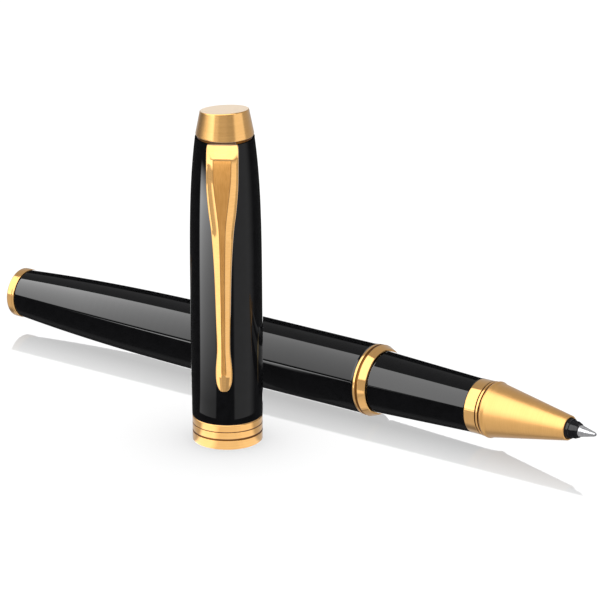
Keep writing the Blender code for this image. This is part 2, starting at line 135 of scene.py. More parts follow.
def ramp(tree, value, start, end, low=0.0, high=1.0, smooth=True):
    """A value mapped from start..end to low..high, and held beyond them."""
    node = tree.nodes.new("ShaderNodeMapRange")
    node.interpolation_type = "SMOOTHSTEP" if smooth else "LINEAR"
    for name, number in (("From Min", start), ("From Max", end), ("To Min", low), ("To Max", high)):
        feed(tree, node.inputs[name], number)
    feed(tree, node.inputs["Value"], value)
    return node.outputs["Result"]


def band(tree, value, start, end, soft, height=1.0):
    """A bump of a given height between start and end, with soft edges."""
    rise = ramp(tree, value, start - soft, start + soft)
    fall = ramp(tree, value, end - soft, end + soft, 1.0, 0.0)
    return calc(tree, "MULTIPLY", calc(tree, "MULTIPLY", rise, fall), height)


def noise(tree, vector, scale, detail=3.0, roughness=0.55):
    node = tree.nodes.new("ShaderNodeTexNoise")
    node.inputs["Scale"].default_value = scale
    node.inputs["Detail"].default_value = detail
    node.inputs["Roughness"].default_value = roughness
    tree.links.new(vector, node.inputs["Vector"])
    return node.outputs["Fac"]


# How far turned marks wander round a ring, and how drawn marks are stretched across and along
TURNED_WANDER = 0.03
DRAWN_ACROSS = 0.6
DRAWN_ALONG = 0.02


def grain_vector(tree, grain):
    """Coordinates for a surface's marks, per metre. "turned" gives rings about Z, "drawn" lines along Z."""
    coordinates = tree.nodes.new("ShaderNodeTexCoord").outputs["Object"]
    if grain == "even":
        return coordinates, coordinates
    split = tree.nodes.new("ShaderNodeSeparateXYZ")
    tree.links.new(coordinates, split.inputs[0])
    x, y, z = split.outputs
    join = tree.nodes.new("ShaderNodeCombineXYZ")
    if grain == "turned":
        squares = calc(tree, "ADD", calc(tree, "MULTIPLY", x, x), calc(tree, "MULTIPLY", y, y))
        around = calc(tree, "MULTIPLY", calc(tree, "ADD", x, y), TURNED_WANDER)
        parts = (calc(tree, "SQRT", squares), around, z)
    else:
        parts = (calc(tree, "MULTIPLY", x, DRAWN_ACROSS), y, calc(tree, "MULTIPLY", z, DRAWN_ALONG))
    for socket, part in zip(join.inputs, parts):
        feed(tree, socket, part)
    return join.outputs[0], coordinates


# Shares of marks and blotches in their mix, and the part of the mix that spans dark to light
MARKS_SHARE = 0.65
BLOTCH_SHARE = 0.35
MIX_RANGE = (0.3, 0.7)


def finish(
    name, dark, light, roughness, metallic=0.0, grain="even", scale=3000.0, bump=0.0, blotch=400.0, **fixed
):
    """A Principled material. Marks at one scale and soft blotches at another vary colour and roughness.

    The marks alone make the bump, which is in millimetres.
    """
    material, tree = new_tree(name, "material")
    marks_at, plain = grain_vector(tree, grain)
    marks = noise(tree, marks_at, scale)
    blotches = noise(tree, plain, blotch, 2.0)
    marks_part = calc(tree, "MULTIPLY", marks, MARKS_SHARE)
    mixed = calc(tree, "ADD", marks_part, calc(tree, "MULTIPLY", blotches, BLOTCH_SHARE))
    shader = tree.nodes.new("ShaderNodeBsdfPrincipled")
    colour = tree.nodes.new("ShaderNodeMix")
    colour.data_type = "RGBA"
    colour.inputs["A"].default_value = (*dark, 1.0)
    colour.inputs["B"].default_value = (*light, 1.0)
    tree.links.new(ramp(tree, mixed, *MIX_RANGE), colour.inputs["Factor"])
    tree.links.new(colour.outputs["Result"], shader.inputs["Base Color"])
    tree.links.new(ramp(tree, mixed, *MIX_RANGE, *roughness, smooth=False), shader.inputs["Roughness"])
    shader.inputs["Metallic"].default_value = metallic
    for key, value in fixed.items():
        shader.inputs[key.replace("_", " ").title().replace("Ior", "IOR")].default_value = value
    if bump:
        height = tree.nodes.new("ShaderNodeBump")
        height.inputs["Strength"].default_value = 1.0
        height.inputs["Distance"].default_value = bump * MM
        tree.links.new(marks, height.inputs["Height"])
        tree.links.new(height.outputs[0], shader.inputs["Normal"])
    output = tree.nodes.new("ShaderNodeOutputMaterial")
    tree.links.new(shader.outputs[0], output.inputs["Surface"])
    return material


GOLD_DARK = (0.79, 0.415, 0.11)
GOLD_LIGHT = (0.86, 0.47, 0.14)
FINISHES = {
    "black_lacquer": finish(
        "black_lacquer",
        (0.0030, 0.0030, 0.0034),
        (0.0046, 0.0046, 0.0052),
        (0.18, 0.30),
        scale=900.0,
        specular_ior_level=0.0,
        coat_weight=1.0,
        coat_roughness=0.0,
        coat_ior=1.42,
    ),
    "polished_gold": finish(
        "polished_gold",
        GOLD_DARK,
        GOLD_LIGHT,
        (0.05, 0.11),
        metallic=1.0,
        grain="turned",
        scale=5000.0,
        bump=0.0006,
        coat_weight=0.6,
        coat_roughness=0.04,
        coat_ior=1.8,
    ),
    # Pale, almost unmetallic gold: a painted highlight for the finial's satin top
    "pale_gold": finish(
        "pale_gold",
        (0.85, 0.69, 0.52),
        (0.90, 0.74, 0.56),
        (0.38, 0.46),
        metallic=0.1,
        grain="drawn",
        scale=7000.0,
        bump=0.0012,
    ),
    "satin_gold": finish(
        "satin_gold",
        GOLD_DARK,
        GOLD_LIGHT,
        (0.28, 0.38),
        metallic=1.0,
        grain="turned",
        scale=9000.0,
        bump=0.0010,
        coat_weight=0.5,
        coat_roughness=0.3,
        coat_ior=1.8,
    ),
    "soft_gold": finish(
        "soft_gold",
        GOLD_DARK,
        GOLD_LIGHT,
        (0.15, 0.21),
        metallic=1.0,
        grain="turned",
        scale=5000.0,
        bump=0.0006,
        coat_weight=0.6,
        coat_roughness=0.1,
        coat_ior=1.8,
    ),
    "drawn_gold": finish(
        "drawn_gold",
        (0.70, 0.33, 0.085),
        (0.82, 0.42, 0.125),
        (0.28, 0.40),
        metallic=1.0,
        grain="drawn",
        scale=9000.0,
        bump=0.0014,
    ),
    # Dark brown gold that stands for shade: painted shade in grooves and in the gap under the finial
    "groove_gold": finish(
        "groove_gold",
        (0.12, 0.046, 0.009),
        (0.19, 0.075, 0.016),
        (0.30, 0.42),
        metallic=1.0,
        grain="turned",
        scale=6000.0,
        bump=0.0012,
    ),
    "brass": finish(
        "brass", (0.60, 0.43, 0.18), (0.74, 0.56, 0.27), (0.22, 0.42), 1.0, "turned", 6000.0, 0.002
    ),
    "steel": finish(
        "steel", (0.50, 0.50, 0.51), (0.70, 0.70, 0.71), (0.20, 0.36), 1.0, "turned", 9000.0, 0.0015
    ),
    "point_steel": finish(
        "point_steel", (0.36, 0.36, 0.37), (0.52, 0.52, 0.53), (0.0, 0.0), 0.45, "turned", 9000.0, 0.0012
    ),
    # Matt black that paints the shade of the gap under the finial onto the cap tube's top ledge
    "matt_black": finish(
        "matt_black", (0.002, 0.002, 0.002), (0.005, 0.005, 0.005), (0.8, 0.9), specular_ior_level=0.0
    ),
    "black_plastic": finish(
        "black_plastic",
        (0.006, 0.006, 0.007),
        (0.014, 0.014, 0.015),
        (0.30, 0.44),
        scale=4000.0,
        bump=0.0006,
        specular_ior_level=0.0,
        coat_weight=0.5,
        coat_roughness=0.0,
    ),
    "white_plastic": finish(
        "white_plastic", (0.70, 0.70, 0.67), (0.80, 0.80, 0.77), (0.34, 0.46), scale=2500.0, bump=0.001
    ),
    "wick": finish(
        "wick", (0.02, 0.025, 0.10), (0.08, 0.09, 0.22), (0.8, 0.95), 0.0, "drawn", 14000.0, 0.01
    ),
    "carbide": finish("carbide", (0.12, 0.12, 0.14), (0.20, 0.20, 0.22), (0.12, 0.26), 1.0, scale=9000.0),
}


# ---------------------------------------------------------------- mesh helpers


def rounded(profile):
    """The profile as points, with each corner that has a third number turned into an arc of that radius."""
    points = []
    for i, corner in enumerate(profile):
        here = Vector(corner[:2])
        if len(corner) == 2:
            points.append(here)
            continue
        back = (Vector(profile[i - 1][:2]) - here).normalized()
        ahead = (Vector(profile[(i + 1) % len(profile)][:2]) - here).normalized()
        half = back.angle(ahead) / 2
        reach = corner[2] / math.tan(half)
        centre = here + (back + ahead).normalized() * (corner[2] / math.sin(half))
        start = here + back * reach - centre
        sweep = start.angle_signed(here + ahead * reach - centre)
        for step in range(ARC_STEPS + 1):
            turn = -sweep * step / ARC_STEPS
            cos, sin = math.cos(turn), math.sin(turn)
            points.append(centre + Vector((start.x * cos - start.y * sin, start.x * sin + start.y * cos)))
    return points


# Straights over this length, in millimetres, get points this far from their ends, at most this share in
LONG_STRAIGHT = 0.3
SUPPORT_INSET = 0.06
SUPPORT_SHARE = 0.15


def supported(points, closed):
    """Adds a point close to each end of every long straight, which keeps the straight evenly shaded."""
    result = []
    last = len(points) if closed else len(points) - 1
    for i in range(last):
        here, ahead = points[i], points[(i + 1) % len(points)]
        result.append(here)
        length = (ahead - here).length
        if length > LONG_STRAIGHT:
            inset = min(SUPPORT_INSET, length * SUPPORT_SHARE) / length
            result += [here.lerp(ahead, inset), here.lerp(ahead, 1 - inset)]
    return result if closed else result + [points[-1]]


def shown(name, verts, faces, place, body, slot, nodes, material=None):
    """A smooth-shaded mesh piece that rides on a body and stands for CAD nodes."""
    mesh = bpy.data.meshes.new(name)
    mesh.from_pydata(verts, [], faces)
    bm = bmesh.new()
    bm.from_mesh(mesh)
    bmesh.ops.recalc_face_normals(bm, faces=bm.faces)
    bm.to_mesh(mesh)
    bm.free()
    mesh.shade_smooth()
    mesh.set_sharp_from_angle(angle=SHARP)
    mesh.materials.append(FINISHES[material or slot])
    obj = bpy.data.objects.new(name, mesh)
    obj.matrix_world = place
    bpy.context.scene.collection.objects.link(obj)
    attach(obj, body)
    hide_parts(*nodes)
    return obj


def spun(section_at, sides=SIDES):
    """Vertices and faces of a section spun about Z, which may change with the angle."""
    sections = [section_at(math.tau * k / sides) for k in range(sides)]
    points = sections[0]
    verts, rings = [], []
    for i, (radius, height) in enumerate(points):
        if radius < ON_AXIS:
            rings.append([len(verts)] * sides)
            verts.append((0.0, 0.0, height * MM))
            continue
        rings.append(list(range(len(verts), len(verts) + sides)))
        for k in range(sides):
            angle = math.tau * k / sides
            r, z = sections[k][i]
            verts.append((r * math.cos(angle) * MM, r * math.sin(angle) * MM, z * MM))
    faces = []
    closed = points[0][0] > ON_AXIS
    pairs = list(zip(rings, rings[1:])) + ([(rings[-1], rings[0])] if closed else [])
    for a, b in pairs:
        for k in range(sides):
            j = (k + 1) % sides
            corners = dict.fromkeys((a[k], a[j], b[j], b[k]))
            if len(corners) > 2:
                faces.append(tuple(corners))
    return verts, faces


def turned(node, place, body, slot, profile, material=None):
    """A profile spun about the Z axis of its place. It is closed unless it starts on the axis."""
    points = supported(rounded(profile), profile[0][0] > ON_AXIS)
    verts, faces = spun(lambda angle: points)
    return shown(node + "_look", verts, faces, place, body, slot, [node], material)


def paint_groove_shade(obj, *grooves):
    """Paints shade on the floor of each groove (lowest station, highest station, greatest radius) with the
    dark brown gold.
    """
    obj.data.materials.append(FINISHES["groove_gold"])
    for face in obj.data.polygons:
        centre = face.center / MM
        r = math.hypot(centre.x, centre.y)
        if any(low < centre.z < high and r < limit for low, high, limit in grooves):
            face.material_index = 1


def pen_piece(node, body, slot, profile, material=None):
    return turned(node, PEN_FRAME, body, slot, profile, material)


def cap_piece(node, slot, profile):
    return turned(node, CAP_FRAME, "cap", slot, profile)


# ---------------------------------------------------------------- barrel

# Radii at the tail, at the two thirds and at the mouth
BARREL_THIRDS = (4.21, 5.64, 6.03, 6.07)


def barrel_radius(t):
    """The cubic through the barrel's radii at its ends and thirds."""
    total = 0.0
    for i, radius in enumerate(BARREL_THIRDS):
        weight = 1.0
        for j in range(4):
            if j != i:
                weight *= (3 * t - j) / (i - j)
        total += weight * radius
    return total


def barrel():
    start, end = along("barrel_tube")
    edge = 0.3
    samples = 48
    outside = [(barrel_radius(0.0), start, edge)]
    for i in range(1, samples):
        outside.append((barrel_radius(i / samples), start + (end - start) * i / samples))
    outside.append((barrel_radius(1.0), end, edge))
    sleeve_bore, refill_bore, screw_bore = 5.35, 3.55, 2.45
    sleeve_start, wall_end = end - 16.0, start + 4.2
    inside = [(sleeve_bore, end), (sleeve_bore, sleeve_start), (refill_bore, sleeve_start)]
    inside += [(refill_bore, wall_end), (screw_bore, start)]
    pen_piece("barrel_tube", "barrel", "black_lacquer", outside + inside)


def tail():
    start, end = along("tail_cap")[0], along("barrel_tube")[0] - 0.05
    r = widest("tail_cap")
    profile = [
        (0.0, start),
        (r - 0.5, start, 0.5),
        (r, start + 0.32, 0.22),
        (r, start + 1.24, 0.03),
        (r - 0.09, start + 1.32, 0.03),
        (r, start + 1.4, 0.05),
        (r, end, 0.12),
        (r - 0.5, end),
        (2.4, end),
        (2.4, 5.8),
        (0.0, 5.8),
    ]
    pen_piece("tail_cap", "barrel", "polished_gold", profile)


def ring():
    start, end = along("barrel_tube")[1] + 0.05, along("centre_ring")[1]
    r = widest("centre_ring")
    profile = [
        (5.3, start - 4.0),
        (5.3, start),
        (r - 0.06, start, 0.16),
        (r - 0.06, start + 0.46, 0.07),
        (r - 0.25, start + 0.57, 0.04),
        (r - 0.25, start + 0.9, 0.06),
        (r, start + 1.06, 0.06),
        (5.65, end, 0.12),
        (4.75, end),
        (4.75, start - 4.0),
    ]
    obj = pen_piece("centre_ring", "barrel", "polished_gold", profile)
    # The groove's floor gets painted shade
    paint_groove_shade(obj, (start + 0.48, start + 1.0, r - 0.15))


# ---------------------------------------------------------------- section


def grip():
    start, end = along("grip_sleeve")
    profile = [(5.32, start, 0.28), (4.63, end, 0.1), (3.9, end), (3.9, start)]
    pen_piece("grip_sleeve", "section", "black_lacquer", profile)


def collar():
    start, end = along("nose_collar")
    r = 4.63
    profile = [
        (r, start, 0.09),
        (r + 0.01, start + 2.12, 0.05),
        (r - 0.2, start + 2.22, 0.03),
        (r - 0.2, start + 2.34),
        (r + 0.07, start + 2.36, 0.1),
        (r + 0.07, start + 2.74, 0.12),
        (r - 0.2, start + 2.8),
        (r - 0.2, end),
        (3.9, end),
        (3.9, start),
    ]
    obj = pen_piece("nose_collar", "section", "polished_gold", profile)
    # The thin groove and the narrow neck after the bead get painted shade
    paint_groove_shade(obj, (start + 2.14, start + 2.37, r - 0.02), (start + 2.76, end, r - 0.02))


def cone():
    start, end = along("nose_cone")
    profile = [
        (4.72, start, 0.14),
        (4.85, start + 0.36, 0.16),
        (4.62, start + 0.85, 0.3),
        (2.09, end, 0.16),
        (1.84, end, 0.05),
        (1.84, end - 3.0),
        (3.2, start + 3.7),
        (3.9, start + 2.75),
        (3.9, start),
    ]
    pen_piece("nose_cone", "section", "satin_gold", profile)


THREAD_START = 63.6
THREAD_PITCH = 0.8
THREAD_TURNS = 5
THREAD_HEIGHT = 0.18
THREAD_HALF_WIDTH = 0.24
THREAD_RUN_OUT = 0.3
THREAD_STEP = 0.05
THREAD_LEAD_ROWS = 8


def bushing():
    """Brass bushing: a right-hand thread at its rear, a smooth neck, and a stem inside the grip."""
    start, end = along("section_bushing")
    r = widest("section_bushing") - THREAD_HEIGHT
    neck = along("grip_sleeve")[0] - 0.05
    stem, bore = 3.85, 3.2
    thread_end = THREAD_START + THREAD_TURNS * THREAD_PITCH
    count = round((thread_end - THREAD_START) / THREAD_STEP) + 2 * THREAD_LEAD_ROWS

    def section(angle):
        points = [(r - 0.2, start), (r, start + 0.2)]
        for i in range(count):
            s = THREAD_START + (i - THREAD_LEAD_ROWS) * THREAD_STEP
            phase = ((s - THREAD_START) / THREAD_PITCH - angle / math.tau) % 1.0
            away = min(phase, 1 - phase) * THREAD_PITCH
            run_in = smooth(s, THREAD_START - THREAD_RUN_OUT, THREAD_START)
            run_out = 1 - smooth(s, thread_end, thread_end + THREAD_RUN_OUT)
            ridge = max(0.0, 1 - away / THREAD_HALF_WIDTH)
            points.append((r + THREAD_HEIGHT * ridge * (run_in * run_out), s))
        return points + [(r, neck - 0.06), (r, neck), (stem, neck), (stem, end), (bore, end), (bore, start)]

    verts, faces = spun(section, 96)
    shown("section_bushing_look", verts, faces, PEN_FRAME, "section", "brass", ["section_bushing"])


def refill_front():
    start, end = along("refill_nose")
    profile = [
        (0.0, start),
        (2.55, start),
        (2.55, start + 1.65),
        (3.05, start + 1.65),
        (3.05, start + 6.0),
        (2.88, start + 6.7),
        (2.2, start + 12.3),
        (1.72, start + 15.4, 0.5),
        (1.72, end - 1.5, 0.12),
        (1.5, end - 1.42),
        (1.46, end - 0.6, 0.1),
        (1.2, end, 0.1),
        (0.0, end),
    ]
    pen_piece("refill_nose", "refill", "black_plastic", profile)


def point():
    """Steel point with the fine rings that turning leaves, crimped over the ball."""
    start, end = along("refill_nose")[1] + 0.02, along("steel_point")[1]
    rings = 11
    base, mouth, shoulder, crimp = 0.97, 0.40, 0.32, 0.25
    profile = [(0.0, start), (base, start, 0.06), (0.99, start + shoulder, 0.05)]
    for i in range(1, rings):
        t = i / rings
        r = base + (mouth - base) * t
        s = start + shoulder + (end - crimp - start - shoulder) * t
        profile += [(r, s - 0.035), (r - 0.02, s), (r - 0.004, s + 0.035)]
    profile += [(mouth, end - crimp, 0.04), (0.33, end - 0.05, 0.05), (0.25, end), (0.0, end - 0.05)]
    pen_piece("steel_point", "refill", "steel", profile, "point_steel")


def ball():
    """The writing ball, as a sphere of squares so that it has no poles."""
    low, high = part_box("tip_ball")
    bm = bmesh.new()
    bmesh.ops.create_cube(bm, size=2.0)
    bmesh.ops.subdivide_edges(bm, edges=bm.edges, cuts=9, use_grid_fill=True)
    for vert in bm.verts:
        vert.co = vert.co.normalized() * (high.x - low.x) / 2
    verts = [tuple(v.co) for v in bm.verts]
    faces = [tuple(v.index for v in f.verts) for f in bm.faces]
    bm.free()
    place = Matrix.Translation((low + high) / 2)
    shown("tip_ball_look", verts, faces, place, "ball", "carbide", ["tip_ball"])


# ---------------------------------------------------------------- cap


def cap_tube_radius(z):
    """A slight belly, then a shoulder that rounds in to the finial."""
    widest_at, band_top, top = 22.0, 4.35, 53.2
    if z < widest_at:
        return 6.03 - 0.13 * ((widest_at - z) / (widest_at - band_top)) ** 2
    return 6.03 - 1.07 * ((z - widest_at) / (top - widest_at)) ** 3.8


def cap_body():
    """Cap tube, with rows that crowd toward the shoulder. The ledge under the finial is painted matt black as
    the shade in the gap there.
    """
    start, end = upward("cap_tube")
    samples = 150
    outside = [(cap_tube_radius(start), start, 0.14)]
    for i in range(1, samples):
        z = start + (end - start) * math.sin(math.pi / 2 * i / samples)
        outside.append((cap_tube_radius(z), z))
    outside.append((cap_tube_radius(end), end))
    inside = [(1.6, end), (1.6, end - 4.0), (3.6, end - 4.0), (5.3, 46.0), (5.3, 7.45)]
    inside += [(5.6, 7.45), (5.6, start)]
    obj = cap_piece("cap_tube", "black_lacquer", outside + inside)
    # Painted shade: the top ledge, under the finial, gets matt black
    obj.data.materials.append(FINISHES["matt_black"])
    for face in obj.data.polygons:
        if face.normal.z > 0.7 and face.center.z > (end - 0.4) * MM:
            face.material_index = 1


def mouth_band():
    r = widest("cap_band")
    top = upward("cap_tube")[0] - 0.05
    bore = 5.45
    profile = [
        (r, 0.0, 0.2),
        (r, 1.56, 0.04),
        (r - 0.12, 1.63, 0.02),
        (r - 0.12, 1.87, 0.02),
        (r, 1.94, 0.04),
        (r, 3.0, 0.03),
        (r - 0.06, 3.05, 0.02),
        (r - 0.06, 3.15, 0.02),
        (r, 3.2, 0.03),
        (r, top, 0.16),
        (5.55, top),
        (5.55, 7.4),
        (5.28, 7.4),
        (bore, top - 0.4),
        (bore, 0.0, 0.12),
    ]
    obj = cap_piece("cap_band", "polished_gold", profile)
    # Both grooves get painted shade
    paint_groove_shade(obj, (1.55, 1.95, r - 0.02), (3.0, 3.2, r - 0.03))


# The finial's slanted top: height on the axis, slope, and the direction it rises in from the clip's.
# Then the radius lost per millimetre of height, and what counts as the top's faces, which get the painted
# highlight.
FINIAL_FACE = 57.85
FINIAL_TILT = math.radians(7.7)
FINIAL_TURN = math.radians(24.4)
FINIAL_TAPER = 0.195
FINIAL_TOP_OVER = 57.0
FINIAL_TOP_FACING = 0.93


def finial():
    """Tapered end piece with a polished side and a satin top that is cut at a slant. The top's pale colour is
    a painted highlight.
    """
    start = upward("cap_finial")[0]
    base = widest("cap_finial")

    def section(angle):
        rise = math.tan(FINIAL_TILT) * math.cos(angle - FINIAL_TURN)
        r = (base - FINIAL_TAPER * (FINIAL_FACE - start)) / (1 + FINIAL_TAPER * rise)
        top = FINIAL_FACE + rise * r
        outside = [(0.0, FINIAL_FACE), (r, top, 0.2), (base, start, 0.14)]
        inside = [(4.3, start), (1.45, start), (1.45, start + 2.4), (0.0, start + 2.4)]
        return supported(rounded(outside + inside), False)

    verts, faces = spun(section)
    nodes = ["cap_finial"]
    obj = shown("cap_finial_look", verts, faces, CAP_FRAME, "cap", "polished_gold", nodes, "soft_gold")
    # The top's faces get the pale painted highlight
    obj.data.materials.append(FINISHES["pale_gold"])
    for face in obj.data.polygons:
        if face.normal.z > FINIAL_TOP_FACING and face.center.z > FINIAL_TOP_OVER * MM:
            face.material_index = 1


# Clip: height, inside face's distance from the cap's axis, thickness, half width
CLIP_STATIONS = (
    (53.5, 5.14, 0.45, 2.45),
    (52.9, 5.22, 0.78, 2.62),
    (50.5, 5.85, 1.0, 2.66),
    (46.5, 6.5, 1.05, 2.62),
    (42.5, 6.75, 1.05, 2.3),
    (38.5, 6.88, 1.05, 1.82),
    (32.0, 6.95, 1.05, 1.42),
    (24.0, 6.92, 1.0, 1.2),
    (18.5, 6.75, 1.0, 1.1),
    (14.8, 6.2, 1.1, 1.36),
    (12.6, 6.15, 1.05, 1.3),
    (11.4, 6.4, 0.8, 0.9),
    (11.0, 6.6, 0.6, 0.5),
)


def clip_at(t):
    """Station values at a fraction t of the clip's length, on a Catmull-Rom curve."""
    span = t * (len(CLIP_STATIONS) - 1)
    i = min(int(span), len(CLIP_STATIONS) - 2)
    u = span - i
    p1, p2 = Vector(CLIP_STATIONS[i]), Vector(CLIP_STATIONS[i + 1])
    p0 = Vector(CLIP_STATIONS[i - 1]) if i > 0 else p1
    p3 = Vector(CLIP_STATIONS[i + 2]) if i + 2 < len(CLIP_STATIONS) else p2
    bend = 2 * p0 - 5 * p1 + 4 * p2 - p3
    twist = 3 * p1 - p0 - 3 * p2 + p3
    return 0.5 * (2 * p1 + (p2 - p0) * u + bend * u**2 + twist * u**3)


def smooth(value, start, end):
    t = min(1.0, max(0.0, (value - start) / (end - start)))
    return t * t * (3 - 2 * t)


def clip_section(z, inside, thickness, half):
    """Outline points (distance out, distance across) of the clip at one height."""
    crown = 0.2
    slope = 0.5
    edge = min(0.14, half * 0.2)
    channel = half * (0.30 + 0.28 * smooth(z, 38.0, 50.0))
    open_at = smooth(z, 13.2, 14.6) * (1 - smooth(z, 51.1, 51.3))
    sink = 0.2 * open_at
    wall = min(0.12, channel * 0.3)
    line = channel + (half - channel) * 0.72
    line_depth = 0.05 * smooth(z, 37.5, 39.5) * (1 - smooth(z, 50.2, 50.8))
    top = inside + thickness + crown
    reach = half - edge

    def flank(y):
        return top - slope * max(0.0, y - channel) * min(1.0, thickness)

    side = []
    for part in (0.0, 0.5, 1.0):
        side.append((top - sink, (channel - wall) * part))
    side += [(flank(channel), channel), (flank(line - 0.08), line - 0.08), (flank(line) - line_depth, line)]
    side += [(flank(line + 0.08), line + 0.08)]
    base = flank(reach)
    for step in range(5):
        angle = math.pi / 2 * step / 4
        side.append((base - edge + edge * math.cos(angle), reach + edge * math.sin(angle)))
    side += [(inside + 0.12, half), (inside, half - 0.12), (inside, (half - 0.12) / 2)]
    left = [(x, -y) for x, y in reversed(side[1:])]
    return left + side + [(inside, 0.0)]


# Heights between which the channel has its satin finish, and its reach each side of the middle, in faces
CHANNEL_LOW = 13.8
CHANNEL_HIGH = 51.2
CHANNEL_FACES = 2.6


def clip():
    """Plain tapering clip: two polished flanks, a fine line on each, and a satin channel between them."""
    rows = 260
    rings, verts, faces = [], [], []
    for i in range(rows + 1):
        z, inside, thickness, half = clip_at(i / rows)
        outline = clip_section(z, inside, thickness, half)
        rings.append(range(len(verts), len(verts) + len(outline)))
        verts += [(x * MM, y * MM, z * MM) for x, y in outline]
    count = len(rings[0])
    for a, b in zip(rings, rings[1:]):
        for k in range(count):
            j = (k + 1) % count
            faces.append((a[k], a[j], b[j], b[k]))
    middle = (count - 1) // 2
    for ring in (rings[0], rings[-1]):
        for k in range(middle):
            faces.append((ring[k], ring[k + 1], ring[count - 3 - k], ring[count - 2 - k]))
    obj = shown("clip_look", verts, faces, CAP_FRAME, "clip", "polished_gold", ["clip"])
    obj.data.materials.append(FINISHES["drawn_gold"])
    for i, face in enumerate(obj.data.polygons[: rows * count]):
        across = i % count - middle
        inside_ends = CHANNEL_LOW * MM < face.center.z < CHANNEL_HIGH * MM
        if abs(across + 0.5) < CHANNEL_FACES and inside_ends:
            face.material_index = 1


# ---------------------------------------------------------------- studio

# Pieces that neither the pen nor the floor mirrors here
UNMIRRORED = ("cap_", "clip", "snap_ring", "finial_screw", "centre_ring")

# Camera, fitted to the outlines in the photo. Its distance is a choice, because the photo leaves it open.
VIEW_AZIMUTH = math.radians(36.083)
VIEW_ELEVATION = math.radians(19.89)
VIEW_ROLL = math.radians(-0.31)
VIEW_DISTANCE = 1.045
VIEW_LENS = 356.99
VIEW_TARGET = Vector((-0.018597, 0.038297, 0.0057))


def camera():
    flat = math.cos(VIEW_ELEVATION)
    back = Vector(
        (math.sin(VIEW_AZIMUTH) * flat, -math.cos(VIEW_AZIMUTH) * flat, math.sin(VIEW_ELEVATION))
    )
    right = (-back).cross(Vector((0, 0, 1))).normalized()
    up = right.cross(-back)
    turn = Matrix((right, up, back)).transposed().to_4x4() @ Matrix.Rotation(VIEW_ROLL, 4, "Z")
    data = bpy.data.cameras.new("camera")
    data.lens = VIEW_LENS
    data.sensor_width = 36.0
    data.clip_start = 0.05
    data.clip_end = 20.0
    obj = bpy.data.objects.new("camera", data)
    obj.matrix_world = Matrix.Translation(VIEW_TARGET + back * VIEW_DISTANCE) @ turn
    bpy.context.scene.collection.objects.link(obj)
    bpy.context.scene.camera = obj


def degrees_of(tree, rise, run):
    return calc(tree, "DEGREES", calc(tree, "ARCTAN2", rise, run))


def total(tree, *values):
    result = values[0]
    for value in values[1:]:
        result = calc(tree, "ADD", result, value)
    return result


def chosen(tree, flag, yes, no):
    """yes where the flag is 1, no where it is 0."""
    difference = calc(tree, "SUBTRACT", yes, no)
    return calc(tree, "ADD", no, calc(tree, "MULTIPLY", difference, flag))


def either(tree, *values):
    result = values[0]
    for value in values[1:]:
        result = calc(tree, "MAXIMUM", result, value)
    return result


def product(tree, *values):
    result = values[0]
    for value in values[1:]:
        result = calc(tree, "MULTIPLY", result, value)
    return result


# Where along X the overhead box changes over, as a part of a direction of length 1
LEFT_CHANGE = (-0.54, -0.50)


def lacquer_light(tree, x, z, about_pen, about_cap, above):
    """What the clear lacquer mirrors: a long soft box overhead with its dim spill, in a dark room.

    Weaker lights stand behind the pen, at the cap's side and back, and low under the pen.
    """
    start = ramp(tree, x, *LEFT_CHANGE, 88.0, 108.0, False)
    end = ramp(tree, x, *LEFT_CHANGE, 177.0, 180.0, False)
    place = calc(
        tree, "DIVIDE", calc(tree, "SUBTRACT", about_pen, start), calc(tree, "SUBTRACT", end, start)
    )
    near = ramp(tree, x, *LEFT_CHANGE, 4.0, 5.0, False)
    far = ramp(tree, x, *LEFT_CHANGE, 2.4, 4.3, False)
    level = ramp(tree, place, 0.0, 1.0, near, far, False)
    outward = ramp(tree, x, -0.66, -0.554, 1.85, 1.0, False)
    soft = ramp(tree, x, -0.48, -0.30, 0.985, 0.75, False)
    box = product(
        tree, ramp(tree, place, -0.008, 0.012), ramp(tree, place, soft, 1.005, 1.0, 0.0), level, outward
    )
    spill = product(tree, ramp(tree, about_pen, 37, 43), ramp(tree, place, -0.01, 0.0, 1.0, 0.0), 0.25)
    side = product(tree, ramp(tree, about_cap, -34, -26), ramp(tree, about_cap, 18, 52, 1.0, 0.0), 0.62)
    under = product(
        tree, band(tree, about_pen, -98.0, -74.0, 6.0, 0.07), ramp(tree, z, -0.7, -0.5, 1.0, 0.0)
    )
    behind = product(tree, band(tree, about_pen, 22.0, 70.0, 8.0, 2.6), ramp(tree, x, 0.0, 0.25))
    back = band(tree, about_cap, 112.0, 134.0, 4.0, 1.8)
    low = total(tree, 0.04, product(tree, total(tree, side, back), ramp(tree, z, -0.6, -0.5)), under)
    return chosen(tree, above, total(tree, 0.01, box, spill, behind), low)


# Strength of the even room that blurred reflections see, and of the boxes in it
METAL_ROOM = 0.50
METAL_BOX = 1.7


